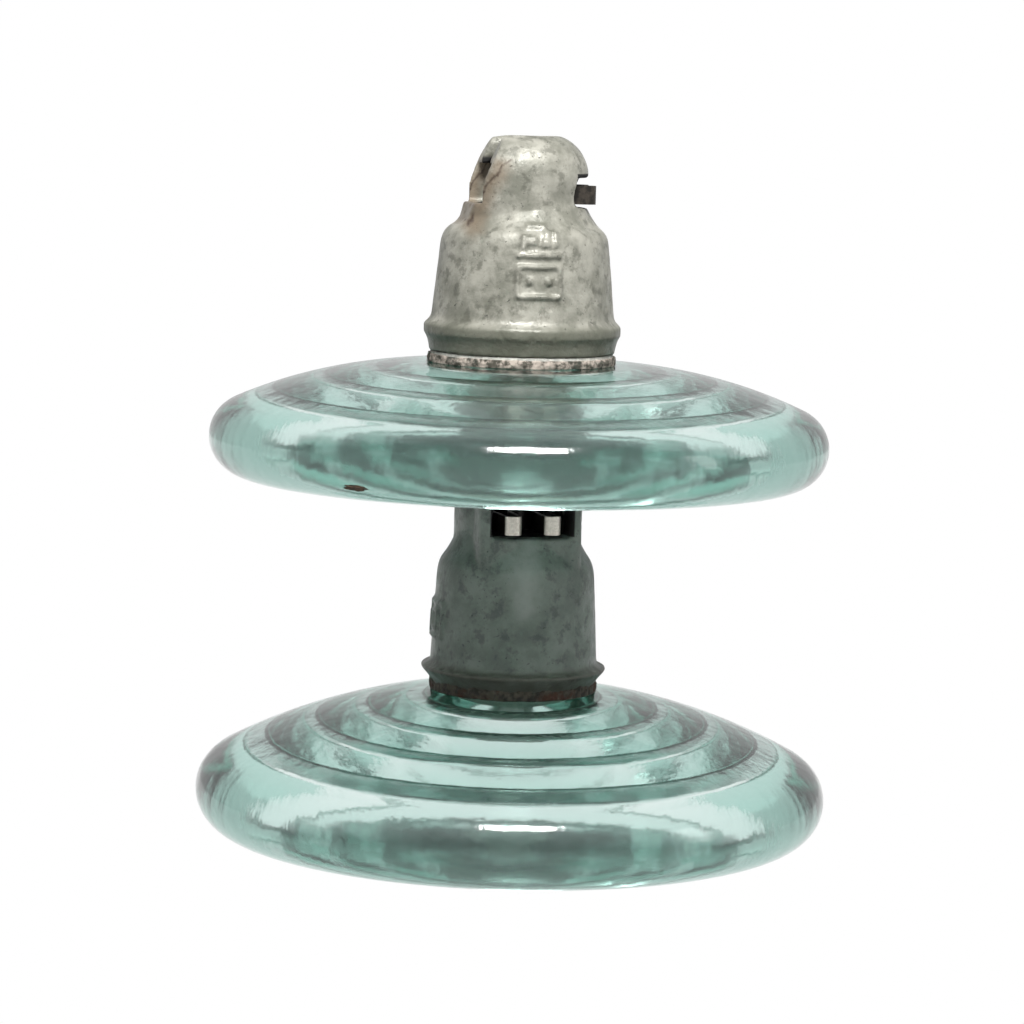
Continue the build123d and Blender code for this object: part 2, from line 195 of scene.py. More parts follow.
def make_mottle_group():
    """Cloudy patches that cover a share of the surface, with soft edges."""
    group, given, out = new_group(
        "mottle",
        [("Place", "NodeSocketVector", (0, 0, 0)), ("Scale", "NodeSocketFloat", 60.0),
         ("Cover", "NodeSocketFloat", 0.5), ("Soft", "NodeSocketFloat", 0.12)],
        [("Mask", "NodeSocketFloat")])
    cloud = noise_of(group, given["Place"], given["Scale"], 6.0, 0.62).outputs["Fac"]
    middle = math_node(group, "SUBTRACT", 1.0, given["Cover"])
    low = math_node(group, "SUBTRACT", middle, given["Soft"])
    high = math_node(group, "ADD", middle, given["Soft"])
    group.links.new(ease(group, cloud, low, high), out["Mask"])
    return group


def make_streak_group():
    """A wandering streak along the line between two points."""
    group, given, out = new_group(
        "streak",
        [("Place", "NodeSocketVector", (0, 0, 0)), ("From", "NodeSocketVector", (0, 0, 0)),
         ("To", "NodeSocketVector", (0, 0, 0)), ("Width", "NodeSocketFloat", 0.002),
         ("Wander", "NodeSocketFloat", 0.003)],
        [("Mask", "NodeSocketFloat")])
    drift = noise_of(group, given["Place"], 160.0, 3.0).outputs["Color"]
    centred = vector_node(group, "SUBTRACT", drift, (0.5, 0.5, 0.5)).outputs[0]
    scaled = vector_node(group, "SCALE", centred)
    group.links.new(given["Wander"], scaled.inputs["Scale"])
    place = vector_node(group, "ADD", given["Place"], scaled.outputs[0]).outputs[0]
    line = vector_node(group, "SUBTRACT", given["To"], given["From"]).outputs[0]
    reach = vector_node(group, "SUBTRACT", place, given["From"]).outputs[0]
    along = math_node(group, "DIVIDE", vector_node(group, "DOT_PRODUCT", reach, line).outputs["Value"],
                      vector_node(group, "DOT_PRODUCT", line, line).outputs["Value"], clamp=True)
    foot = vector_node(group, "SCALE", line)
    group.links.new(along, foot.inputs["Scale"])
    gap = vector_node(group, "DISTANCE", reach, foot.outputs[0]).outputs["Value"]
    group.links.new(ease(group, gap, given["Width"], 0.0), out["Mask"])
    return group


def make_box_group():
    """A soft-edged box, by its centre and half size, turned about the string's axis."""
    group, given, out = new_group(
        "box",
        [("Place", "NodeSocketVector", (0, 0, 0)), ("Turn", "NodeSocketFloat", 0.0),
         ("Centre", "NodeSocketVector", (0, 0, 0)), ("Half Size", "NodeSocketVector", (0.01, 0.01, 0.01)),
         ("Soft", "NodeSocketFloat", 0.0005)],
        [("Mask", "NodeSocketFloat")])
    back = group.nodes.new("ShaderNodeVectorRotate")
    back.rotation_type = "Z_AXIS"
    group.links.new(given["Place"], back.inputs["Vector"])
    group.links.new(math_node(group, "MULTIPLY", given["Turn"], -1.0), back.inputs["Angle"])
    away = vector_node(group, "SUBTRACT", back.outputs["Vector"], given["Centre"]).outputs[0]
    out_by = vector_node(group, "SUBTRACT", vector_node(group, "ABSOLUTE", away).outputs[0],
                         given["Half Size"]).outputs[0]
    parts = group.nodes.new("ShaderNodeSeparateXYZ")
    group.links.new(out_by, parts.inputs[0])
    worst = math_node(group, "MAXIMUM", parts.outputs[0],
                      math_node(group, "MAXIMUM", parts.outputs[1], parts.outputs[2]))
    group.links.new(ease(group, worst, given["Soft"], 0.0), out["Mask"])
    return group


MOTTLE = make_mottle_group()
STREAK = make_streak_group()
BOX = make_box_group()


# ---- Materials ----
def use_group(tree, group, **values):
    """Place a group in a material with its own values."""
    node = tree.nodes.new("ShaderNodeGroup")
    node.node_tree = group
    for label, value in values.items():
        feed(tree, node.inputs[label.replace("_", " ")], value)
    return node.outputs["Mask"]


def mixed(tree, mask, under, over, strength=1.0):
    """One colour laid over another by a mask."""
    node = tree.nodes.new("ShaderNodeMix")
    node.data_type = "RGBA"
    factor = math_node(tree, "MULTIPLY", mask, strength)
    tree.links.new(factor, node.inputs["Factor"])
    for socket, value in ((node.inputs[6], under), (node.inputs[7], over)):
        feed(tree, socket, (*value, 1.0) if isinstance(value, tuple) else value)
    return node.outputs[2]


def new_material(name):
    """A material with one Principled shader, and its object coordinates."""
    material = bpy.data.materials.new(name)
    nodes, links, output = nodes_of(material)
    shader = nodes.new("ShaderNodeBsdfPrincipled")
    links.new(shader.outputs["BSDF"], output.inputs["Surface"])
    place = nodes.new("ShaderNodeTexCoord").outputs["Object"]
    return material, material.node_tree, shader, place, output


def bumped(tree, shader, height, distance, strength):
    """Give a shader the relief of a height, over a distance in metres."""
    bump = tree.nodes.new("ShaderNodeBump")
    bump.inputs["Distance"].default_value = distance
    bump.inputs["Strength"].default_value = strength
    tree.links.new(height, bump.inputs["Height"])
    tree.links.new(bump.outputs["Normal"], shader.inputs["Normal"])


def glass_material():
    """Pressed green glass with a slight haze, faintly rippled by its mould."""
    material, tree, shader, place, output = new_material("green_glass")
    shader.inputs["Base Color"].default_value = (1.0, 1.0, 1.0, 1.0)
    shader.inputs["Metallic"].default_value = 0.0
    shader.inputs["Roughness"].default_value = GLASS_HAZE
    shader.inputs["IOR"].default_value = 1.52
    shader.inputs["Transmission Weight"].default_value = 1.0
    ripple = noise_of(tree, place, 90.0, 3.0, 0.5).outputs["Fac"]
    bumped(tree, shader, ripple, 0.0006, 0.5)
    tint = tree.nodes.new("ShaderNodeVolumeAbsorption")
    tint.inputs["Color"].default_value = GLASS_TINT
    tint.inputs["Density"].default_value = GLASS_DENSITY
    tree.links.new(tint.outputs["Volume"], output.inputs["Volume"])
    return material


def zinc_material(name, unit, tones, metallic, grime_and_shade, streaks):
    """Weathered hot-dip zinc: patches, specks, a foot darkened by grime and painted shade, stains, and
    painted shade, near black, in the socket and the window.

    Each streak is (from, to, width, wander, colour, strength), and the last also sinks in as a crack."""
    material, tree, shader, place, output = new_material(name)
    light, middle, dark = tones
    clouds = use_group(tree, MOTTLE, Place=place, Scale=75.0, Cover=0.5, Soft=0.16)
    color = mixed(tree, clouds, middle, light)
    blots = use_group(tree, MOTTLE, Place=place, Scale=170.0, Cover=0.42, Soft=0.07)
    color = mixed(tree, blots, color, dark, 0.55)
    specks = use_group(tree, MOTTLE, Place=place, Scale=620.0, Cover=0.34, Soft=0.035)
    color = mixed(tree, specks, color, tuple(0.35 * tone for tone in dark), 0.75)
    parts = tree.nodes.new("ShaderNodeSeparateXYZ")
    tree.links.new(place, parts.inputs[0])
    height = parts.outputs[2]
    # Darker towards the foot, from 4.5 mm above the bead down: grime, with painted shade under the bead.
    bead = unit["level"] - unit["bead_drop"]
    foot = ease(tree, height, (bead + 4.5) * MM, (bead + 0.5) * MM)
    color = mixed(tree, foot, color, grime_and_shade, 0.8)

    face_on = vector_node(tree, "MULTIPLY", place, (1.0, 0.0, 1.0)).outputs[0]
    for start, stop, width, wander, stain, strength in streaks:
        streak = use_group(tree, STREAK, Place=face_on, From=tuple(v * MM for v in start),
                           To=tuple(v * MM for v in stop), Width=width * MM, Wander=wander * MM)
        color = mixed(tree, streak, color, stain, strength)

    # Painted shade: the window's walls and the socket's inside are painted near black, with no shine, as the
    # shade inside the cap.
    window = use_group(tree, BOX, Place=place, Turn=radians(unit["turn"]),
                       Centre=(WINDOW_SHADE_FACE * MM, 0.0, (unit["level"] + WINDOW_MIDDLE) * MM),
                       Half_Size=(6 * MM, (WINDOW_HALF_WIDTH + 0.3) * MM, (WINDOW_HALF_HEIGHT + 0.3) * MM))
    flat = vector_node(tree, "MULTIPLY", place, (1.0, 1.0, 0.0)).outputs[0]
    reach = vector_node(tree, "LENGTH", flat).outputs["Value"]
    within = ease(tree, reach, (SOCKET_SHADE_RADIUS + 0.5) * MM, (SOCKET_SHADE_RADIUS - 0.5) * MM)
    roof = unit["level"] + SOCKET_SHADE_TOP
    beneath = ease(tree, height, (roof + 1.0) * MM, (roof - 1.0) * MM)
    socket = math_node(tree, "MULTIPLY", within, beneath)
    socket_shade = math_node(tree, "MAXIMUM", window, socket)
    color = mixed(tree, socket_shade, color, (0.004, 0.004, 0.004))
    tree.links.new(color, shader.inputs["Base Color"])
    shine = math_node(tree, "SUBTRACT", metallic, math_node(tree, "MULTIPLY", socket_shade, metallic), clamp=True)
    tree.links.new(shine, shader.inputs["Metallic"])
    rough = ease(tree, noise_of(tree, place, 130.0, 4.0).outputs["Fac"], 0.35, 0.7, 0.36, 0.58)
    tree.links.new(math_node(tree, "ADD", rough, math_node(tree, "MULTIPLY", socket_shade, 0.4), clamp=True),
                   shader.inputs["Roughness"])
    grain = noise_of(tree, place, 480.0, 5.0, 0.6).outputs["Fac"]
    relief = math_node(tree, "SUBTRACT", grain, math_node(tree, "MULTIPLY", specks, 0.25))
    relief = math_node(tree, "SUBTRACT", relief, math_node(tree, "MULTIPLY", streak, 0.5))
    bumped(tree, shader, relief, 0.0005, 0.55)
    return material


def rough_material(name, tones, roughness, scale=400.0, depth=0.0006, metallic=0.0):
    """Cement, rubber, crust, the plate of painted shade and the strip in painted shade: two or three tones
    in patches over a grain.
    """
    material, tree, shader, place, output = new_material(name)
    patches = use_group(tree, MOTTLE, Place=place, Scale=scale, Cover=0.5, Soft=0.1)
    color = mixed(tree, patches, *tones[:2])
    if len(tones) > 2:
        blots = use_group(tree, MOTTLE, Place=place, Scale=scale * 0.35, Cover=0.42, Soft=0.06)
        color = mixed(tree, blots, color, tones[2])
    tree.links.new(color, shader.inputs["Base Color"])
    shader.inputs["Roughness"].default_value = roughness
    shader.inputs["Metallic"].default_value = metallic
    bumped(tree, shader, noise_of(tree, place, scale * 1.6, 5.0, 0.6).outputs["Fac"], depth, 0.8)
    return material


def pin_material():
    """Galvanised forging, with painted shade, near black, where the ball sits inside the lower socket."""
    material, tree, shader, place, output = new_material("pin_zinc")
    patches = use_group(tree, MOTTLE, Place=place, Scale=220.0, Cover=0.5, Soft=0.1)
    zinc = mixed(tree, patches, (0.42, 0.43, 0.40), (0.60, 0.61, 0.57))
    # Painted shade: the ball inside the lower socket is near black.
    shaded_ball = use_group(tree, BOX, Place=place, Centre=(0.0, 0.0, (12.0 - SPACING) * MM),
                        Half_Size=(20 * MM, 20 * MM, 10 * MM))
    tree.links.new(mixed(tree, shaded_ball, zinc, (0.015, 0.014, 0.012)), shader.inputs["Base Color"])
    shader.inputs["Metallic"].default_value = 0.2
    shader.inputs["Roughness"].default_value = 0.45
    bumped(tree, shader, noise_of(tree, place, 350.0, 5.0, 0.6).outputs["Fac"], 0.0003, 0.7)
    return material


def clip_material():
    """Stainless strip, bright on the two bends that show in the window, with painted shade, near black,
    behind them.
    """
    material, tree, shader, place, output = new_material("clip_strip")
    unshaded_tips = use_group(tree, BOX, Place=place, Turn=radians(LOWER_TURN),
                     Centre=(CLIP_FRONT * MM, 0.0, -SPACING * MM), Half_Size=(4 * MM, 20 * MM, 20 * MM))
    scratched = use_group(tree, MOTTLE, Place=place, Scale=900.0, Cover=0.5, Soft=0.2)
    bright = mixed(tree, scratched, (0.50, 0.47, 0.41), (0.68, 0.64, 0.57))
    # Painted shade: away from the bends in the window the strip is near black.
    color = mixed(tree, unshaded_tips, (0.02, 0.018, 0.015), bright)
    tree.links.new(color, shader.inputs["Base Color"])
    shader.inputs["Metallic"].default_value = 0.6
    shader.inputs["Roughness"].default_value = 0.34
    return material


# ---- Glass shells ----
def bend(start, stop, leave, arrive, steps):
    """Points of a smooth run from one point to another, leaving and arriving along two directions."""
    span = (stop - start).length
    leave = Vector(leave).normalized()
    arrive = Vector(arrive).normalized()
    run = []
    for k in range(steps):
        t = k / steps
        run.append(start * (2 * t**3 - 3 * t**2 + 1) + leave * span * (t**3 - 2 * t**2 + t)
                   + stop * (3 * t**2 - 2 * t**3) + arrive * span * (t**3 - t**2))
    return run + [stop]


def rounded(corners, radius, steps=6):
    """A polyline's points with each inner corner turned by an arc."""
    points = [Vector(p) for p in corners]
    run = [points[0]]
    for before, corner, after in zip(points, points[1:], points[2:]):
        u = (before - corner).normalized()
        v = (after - corner).normalized()
        half = u.angle(v) / 2
        reach = radius / tan(half)
        centre = corner + (u + v).normalized() * radius / sin(half)
        start = corner + u * reach
        stop = corner + v * reach
        for k in range(steps + 1):
            spoke = (start - centre).lerp(stop - centre, k / steps)
            run.append(centre + spoke.normalized() * radius)
    run.append(points[-1])
    return run


def rim_point(unit, turn):
    """A point of the rim's round bulb, at a turn from its top."""
    reach = unit["rim_radius"]
    return Vector((unit["disc_radius"] - reach + reach * sin(radians(turn)),
                   -unit["disc_drop"] + reach * cos(radians(turn))))


def arc(start, centre, angle, steps):
    """Points of an arc that leaves a start point round a centre, clockwise for a negative angle."""
    spoke = Vector(start) - Vector(centre)
    run = []
    for k in range(steps + 1):
        turn = radians(angle) * k / steps
        run.append(Vector(centre) + Vector((spoke.x * cos(turn) - spoke.y * sin(turn),
                                            spoke.x * sin(turn) + spoke.y * cos(turn))))
    return run


def dome_arc(unit):
    """Centre and radius of the dome's arc, which runs from the collar into the rim's bulb."""
    collar = Vector((unit["collar_radius"], -unit["disc_drop"] + unit["glass_rise"]))
    brow = rim_point(unit, unit["rim_turn"])
    normal = Vector((sin(radians(unit["rim_turn"])), cos(radians(unit["rim_turn"]))))
    span = brow - collar
    radius = span.length_squared / (2 * abs(span.dot(normal)))
    return brow - normal * radius, radius


def glass_outline(unit):
    """Section of a shell from the crown of its head round the rim and the ribs to the pin hole."""
    head = unit["head_radius"] + CONTACT
    crown = arc((head - HEAD_ROUND, GLASS_TOP), (head - HEAD_ROUND, GLASS_TOP - HEAD_ROUND), -90, 8)
    collar = Vector((unit["collar_radius"], -unit["disc_drop"] + unit["glass_rise"]))
    waist = Vector((head - HEAD_TAPER, -unit["bead_drop"] + WAIST_RISE))
    neck = bend(waist, collar, (0, -1), (1, -0.35), 24)
    centre, radius = dome_arc(unit)
    brow = rim_point(unit, unit["rim_turn"])
    dome = arc(collar, centre, -degrees((collar - centre).angle(brow - centre)), 48)
    rim = [rim_point(unit, unit["rim_turn"] + (180 - unit["rim_turn"]) * k / 40) for k in range(1, 41)]
    low = rim[-1]

    def roof(reach):
        return centre.y + sqrt(radius**2 - (reach - centre.x)**2) - SHED_WALL

    core = PIN_HOLE_MOUTH + CORE_WALL
    foot = low.x - RIM_INSIDE
    ribs = [Vector((foot, low.y + RIM_INSIDE)), Vector((foot - RIM_DRAFT, roof(foot - RIM_DRAFT)))]
    for rib in reversed(RIB_RADII):
        tip = -unit["disc_drop"] - RIB_DROP
        ribs += [(rib + RIB_ROOT, roof(rib + RIB_ROOT)), (rib + RIB_TIP, tip),
                 (rib - RIB_TIP, tip), (rib - RIB_ROOT, roof(rib - RIB_ROOT))]
    ribs += [(core + CORE_DRAFT, roof(core + CORE_DRAFT)), (core, CORE_BASE), (PIN_HOLE_MOUTH, CORE_BASE)]
    under = rounded([low] + ribs, RIB_ROUND)
    bore = PIN_HOLE_RADIUS - CONTACT
    hole = [Vector((bore, CORE_BASE + HOLE_FLARE))]
    hole += arc((bore, HOLE_TOP - HOLE_ROUND), (bore - HOLE_ROUND, HOLE_TOP - HOLE_ROUND), 90, 8)
    return ([Vector((0, GLASS_TOP))] + crown + neck + dome[1:] + rim + under[1:] + hole
            + [Vector((0, HOLE_TOP))])


def finished(name, mesh, smooth=True):
    """Make an object of a bmesh and free it."""
    data = bpy.data.meshes.new(name)
    mesh.to_mesh(data)
    mesh.free()
    if smooth:
        data.shade_smooth()
    else:
        data.shade_flat()
    piece = bpy.data.objects.new(name, data)
    bpy.context.scene.collection.objects.link(piece)
    return piece


def turned(name, outline, level, steps=256):
    """A piece turned about the string's axis from its section."""
    mesh = bmesh.new()
    verts = [mesh.verts.new((p.x * MM, 0, (p.y + level) * MM)) for p in outline]
    edges = [mesh.edges.new(pair) for pair in zip(verts, verts[1:])]
    bmesh.ops.spin(mesh, geom=verts + edges, cent=(0, 0, 0), axis=(0, 0, 1), angle=2 * pi, steps=steps,
                   use_merge=True)
    bmesh.ops.remove_doubles(mesh, verts=mesh.verts, dist=1e-6)
    bmesh.ops.recalc_face_normals(mesh, faces=mesh.faces)
    return finished(name, mesh)


GLASS = glass_material()
for name, unit in UNITS.items():
    shell = turned(f"{name}_glass", glass_outline(unit), unit["level"])
    shell.data.materials.append(GLASS)
    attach(shell, f"{name}_unit")
    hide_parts(f"{name}_glass_shell")


# ---- Cap castings ----
def radius_at(skin, angle, height):
    """Reach of a cap's outside from the axis, at an angle and a height."""
    heading = Vector((cos(angle), sin(angle), 0))
    hit = skin.ray_cast(heading * (OUTSIDE * MM) + Vector((0, 0, height)), -heading)[0]
    return Vector((hit.x, hit.y)).length if hit else None


def plane_down_marks(mesh, skin, unit):
    """Bring the low marks of the casting's side down to its plain skin."""
    middle = radians(unit["turn"] - 90)
    top = (unit["level"] - unit["shoulder_drop"] + MARK_TOP) * MM
    inside = (unit["shoulder_radius"] - MARK_DEPTH) * MM
    for vert in mesh.verts:
        reach = Vector((vert.co.x, vert.co.y)).length
        turn = (atan2(vert.co.y, vert.co.x) - middle + pi) % (2 * pi) - pi
        beside = abs(turn) > radians(MARK_SPREAD)
        if beside or reach < inside or not top - MARK_RUN * MM < vert.co.z < top:
            continue
        plain = radius_at(skin, middle - radians(PLAIN_SIDE), vert.co.z)
        if plain and reach > plain:
            vert.co.x *= plain / reach
            vert.co.y *= plain / reach


def raise_bar(mesh, skin, unit, across, height, wide, tall):
    """A raised bar of the marks, bent onto the casting's skin."""
    bar = bmesh.new()
    bmesh.ops.create_cube(bar, size=1.0)
    bmesh.ops.subdivide_edges(bar, edges=bar.edges, cuts=6, use_grid_fill=True)
    middle = radians(unit["turn"] - 90)
    for vert in bar.verts:
        level = (unit["level"] + height + vert.co.z * tall) * MM
        angle = middle + (across + vert.co.x * wide) / unit["shoulder_radius"]
        reach = radius_at(skin, middle - radians(PLAIN_SIDE), level) or unit["shoulder_radius"] * MM
        reach += (vert.co.y * (MARK_RAISE + MARK_ROOT) + (MARK_RAISE - MARK_ROOT) / 2) * MM
        vert.co = (reach * cos(angle), reach * sin(angle), level)
    bmesh.ops.recalc_face_normals(bar, faces=bar.faces)
    loose = bpy.data.meshes.new("bar")
    bar.to_mesh(loose)
    bar.free()
    mesh.from_mesh(loose)
    bpy.data.meshes.remove(loose)


def cast_skin(piece, skin):
    """Sink and swell a cap's outside as the mould left it, with a few pits."""
    mesh = bmesh.new()
    mesh.from_mesh(piece.data)
    bmesh.ops.smooth_vert(mesh, verts=mesh.verts, factor=0.5,
                          use_axis_x=True, use_axis_y=True, use_axis_z=True)
    mesh.normal_update()
    for vert in mesh.verts:
        if skin.ray_cast(vert.co + vert.normal * (SKIN_GAP * MM), vert.normal, OPEN_AIR * MM)[0]:
            continue
        swell = noise.noise(vert.co * 70) + 0.5 * noise.noise(vert.co * 210) - 1.0
        pit = max(0.0, noise.noise(vert.co * 330 + Vector((3, 1, 7))) - PIT_START) / PIT_SIDE
        vert.co += vert.normal * (CAST_SWELL * swell - PIT_DEPTH * min(pit, 1.0)) * MM
    mesh.to_mesh(piece.data)
    mesh.free()
    piece.data.shade_smooth()


def cast_cap(name, unit, marks):
    """A cap's casting, made from its solid's own form with the skin of a sand casting."""
    mesh = bmesh.new()
    mesh.from_mesh(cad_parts[f"{name}_cap"].data)
    bmesh.ops.remove_doubles(mesh, verts=mesh.verts, dist=1e-6)
    skin = BVHTree.FromBMesh(mesh)
    plane_down_marks(mesh, skin, unit)
    for bar in marks:
        raise_bar(mesh, skin, unit, *bar)
    piece = finished(f"{name}_cap_casting", mesh)
    remesh = piece.modifiers.new("skin", "REMESH")
    remesh.mode = "VOXEL"
    remesh.voxel_size = SKIN_STEP * MM
    shaped = bpy.data.meshes.new_from_object(piece.evaluated_get(bpy.context.evaluated_depsgraph_get()))
    piece.modifiers.clear()
    piece.data = shaped
    cast_skin(piece, skin)
    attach(piece, f"{name}_unit")
    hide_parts(f"{name}_cap")
    return piece


def frame_bars(middle, wide, tall, line):
    """The four bars of a frame, by its middle height, half width and height."""
    return [(0.0, middle + tall / 2, 2 * wide, line), (0.0, middle - tall / 2, 2 * wide, line),
            (-wide, middle, line, tall), (wide, middle, line, tall)]


# Each bar of the marks: its middle across and up from the socket's centre, its width and its height.
UPPER_MARKS = frame_bars(-33.0, MARK_WIDTH, 12.0, MARK_LINE)
UPPER_MARKS += [(-3.6, -33.0, 2.4, 2.4), (3.6, -33.0, 2.4, 2.4)]
UPPER_MARKS += [(0.0, -22.4, 2 * MARK_WIDTH + 1.5, 1.9), (-1.0, -10.6, 9.0, 1.6)]
UPPER_MARKS += [(-6.6, -17.0, 1.2, 6.0), (7.2, -15.6, 1.2, 6.5)]
UPPER_MARKS += [(-2.6, -16.4, 3.4, 3.6), (3.0, -17.4, 3.2, 3.2), (3.6, -13.0, 2.2, 2.2)]
LOWER_MARKS = frame_bars(-39.8, MARK_WIDTH, 14.0, MARK_LINE) + frame_bars(-39.8, 3.2, 7.6, 1.4)
UPPER_CAP = cast_cap("upper", UNITS["upper"], UPPER_MARKS)
LOWER_CAP = cast_cap("lower", UNITS["lower"], LOWER_MARKS)


# ---- Crust and dirt ----
def crust_ring(name, unit, reach, top, bottom, swell):
    """A lumpy ring of set cement and dirt round the foot of a cap."""
    inside = reach - 2.0
    outline = [Vector(p) for p in ((inside, top), (reach, top), (reach + 0.5, (top + bottom) / 2),
                                   (reach + 0.3, bottom), (inside, bottom), (inside, top))]
    fine = []
    for start, stop in zip(outline, outline[1:]):
        fine += [start.lerp(stop, k / 5) for k in range(5)]
    ring = turned(f"{name}_crust", fine + [outline[-1]], unit["level"], 512)
    for vert in ring.data.vertices:
        side = Vector((vert.co.x, vert.co.y, 0)).normalized()
        lump = noise.noise(vert.co * 260) + 0.6 * noise.noise(vert.co * 700)
        vert.co += side * lump * swell * MM + Vector((0, 0, 0.4 * lump * swell * MM))
    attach(ring, f"{name}_unit")
    return ring


def shade_plate(name, unit, reach, bottom, top, half_width, thick):
    """A near-black plate across the back of a socket, under the ball: painted shade seen through the window.
    """
    mesh = bmesh.new()
    bmesh.ops.create_cube(mesh, size=1.0)
    bmesh.ops.subdivide_edges(mesh, edges=mesh.edges, cuts=10, use_grid_fill=True)
    turn = Matrix.Rotation(radians(unit["turn"]), 4, "Z")
    for vert in mesh.verts:
        lump = 0.8 * noise.noise(vert.co * 6)
        vert.co = turn @ (Vector((-reach + vert.co.x * thick + lump, vert.co.y * 2 * half_width,
                                  unit["level"] + (bottom + top) / 2 + vert.co.z * (top - bottom))) * MM)
    bmesh.ops.recalc_face_normals(mesh, faces=mesh.faces)
    plate = finished(name, mesh)
    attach(plate, "lower_unit")
    return plate


def rim_chip(name, unit, azimuth, turn, size):
    """A small crust of dirt in a bruise on the rim, by its size along the section, round the rim and out."""
    mesh = bmesh.new()
    bmesh.ops.create_icosphere(mesh, subdivisions=4, radius=0.5)
    spot = rim_point(unit, turn)
    out = Vector((sin(radians(turn)), 0, cos(radians(turn))))
    place = Matrix.Translation((spot.x * MM, 0, (spot.y + unit["level"]) * MM))
    place = Matrix.Rotation(radians(azimuth), 4, "Z") @ place
    face = Matrix((Vector((-out.z, 0, out.x)), Vector((0, 1, 0)), out)).transposed().to_4x4()
    for vert in mesh.verts:
        lump = 1 + 0.5 * noise.noise(vert.co * 4)
        vert.co = Vector([v * reach * lump * MM for v, reach in zip(vert.co, size)])
    bmesh.ops.transform(mesh, matrix=place @ face, verts=mesh.verts)
    bmesh.ops.recalc_face_normals(mesh, faces=mesh.faces)
    chip = finished(name, mesh)
    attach(chip, "upper_unit")
    return chip


UPPER_CRUST = crust_ring("upper", UNITS["upper"], reach=38.3, top=-64.6, bottom=-68.0, swell=0.5)
LOWER_CRUST = crust_ring("lower", UNITS["lower"], reach=34.2, top=-64.4, bottom=-69.6, swell=0.8)
# Painted shade: a dark plate at the back of the lower socket, seen through the window.
SOCKET_SHADE_PLATE = shade_plate("lower_socket_shade_plate", UNITS["lower"], reach=16.5, bottom=-2.6, top=5.0,
                          half_width=16.4, thick=2.4)
RIM_CHIP = rim_chip("upper_rim_chip", UNITS["upper"], azimuth=-130.0, turn=128.0, size=(3.0, 9.0, 1.2))

# ---- Finishes ----
RUST_STAIN = (0.20, 0.135, 0.08)
CRACK = (0.05, 0.03, 0.02)
UPPER_ZINC = zinc_material(
    "upper_zinc", UNITS["upper"], tones=((0.40, 0.39, 0.335), (0.20, 0.20, 0.163), (0.07, 0.072, 0.052)),
    metallic=0.15, grime_and_shade=(0.13, 0.135, 0.10),
    streaks=[((-15, 0, 12), (-25, 0, -12), 7.0, 6.0, RUST_STAIN, 0.6),
             ((-10, 0, 15), (-14, 0, 12), 0.9, 5.0, (0.06, 0.035, 0.02), 0.8),
             ((-14, 0, 12), (-21, 0, 2), 1.0, 5.0, CRACK, 0.9),
             ((-21, 0, 2), (-26, 0, -12), 1.2, 5.0, CRACK, 0.9)])
# The lower cap's tones are darker and greener than the upper cap's: painted shade and painted green light
# from under the upper disc.
LOWER_ZINC_SHADED = zinc_material(
    "lower_zinc_shaded", UNITS["lower"], tones=((0.16, 0.19, 0.165), (0.095, 0.118, 0.10), (0.035, 0.045, 0.038)),
    metallic=0.15, grime_and_shade=(0.06, 0.055, 0.04),
    streaks=[((-2, 0, -146), (-1, 0, -166), 10.0, 9.0, (0.26, 0.29, 0.26), 0.7)])
PIN_ZINC = pin_material()
CLIP_WITH_PAINTED_SHADE = clip_material()
# Painted shade: the upper clip, inside its cap, is near black.
SHADED_CLIP = rough_material("steel_in_painted_shade", ((0.02, 0.018, 0.015), (0.06, 0.05, 0.04)), 0.5,
                           scale=260.0, depth=0.0001, metallic=0.6)
CEMENT = rough_material("cement", ((0.50, 0.50, 0.46), (0.68, 0.68, 0.62)), 0.9)
RUBBER = rough_material("cushion", ((0.03, 0.03, 0.03), (0.05, 0.05, 0.05)), 0.8)
PALE_CRUST = rough_material("pale_crust", ((0.07, 0.065, 0.05), (0.50, 0.43, 0.37), (0.04, 0.045, 0.035)),
                            0.9, scale=300.0)
DARK_CRUST = rough_material("dark_crust", ((0.035, 0.03, 0.025), (0.10, 0.085, 0.065), (0.07, 0.03, 0.018)),
                            0.85, scale=300.0)
# Near black, for the plate of painted shade in the lower socket.
SHADE_PLATE_BLACK = rough_material("painted_shade_plate", ((0.012, 0.012, 0.011), (0.03, 0.028, 0.025)), 0.5,
                        scale=220.0, depth=0.0003, metallic=0.2)
DIRT = rough_material("dirt", ((0.03, 0.02, 0.012), (0.10, 0.06, 0.035)), 0.8, scale=600.0)

for piece, finish in ((UPPER_CAP, UPPER_ZINC), (LOWER_CAP, LOWER_ZINC_SHADED), (UPPER_CRUST, PALE_CRUST),
                      (LOWER_CRUST, DARK_CRUST), (SOCKET_SHADE_PLATE, SHADE_PLATE_BLACK), (RIM_CHIP, DIRT)):
    piece.data.materials.append(finish)
FINISHES = {"cap_cement": CEMENT, "pin_cement": CEMENT, "head_cushion": RUBBER, "pin_cushion": RUBBER,
            "pin": PIN_ZINC}
KEPT_NODES = {f"{name}_{piece}": finish for name in UNITS for piece, finish in FINISHES.items()}
KEPT_NODES.update(upper_clip=SHADED_CLIP, lower_clip=CLIP_WITH_PAINTED_SHADE)
for node, finish in KEPT_NODES.items():
    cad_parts[node].data.materials.clear()
    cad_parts[node].data.materials.append(finish)


# ---- Floor, world, light and camera ----
def shown_as(nodes, kind, level):
    """A background or emission shader of one grey, at a strength of 1."""
    shader = nodes.new(kind)
    shader.inputs["Color"].default_value = (level, level, level, 1.0)
    shader.inputs["Strength"].default_value = 1.0
    return shader.outputs[0]


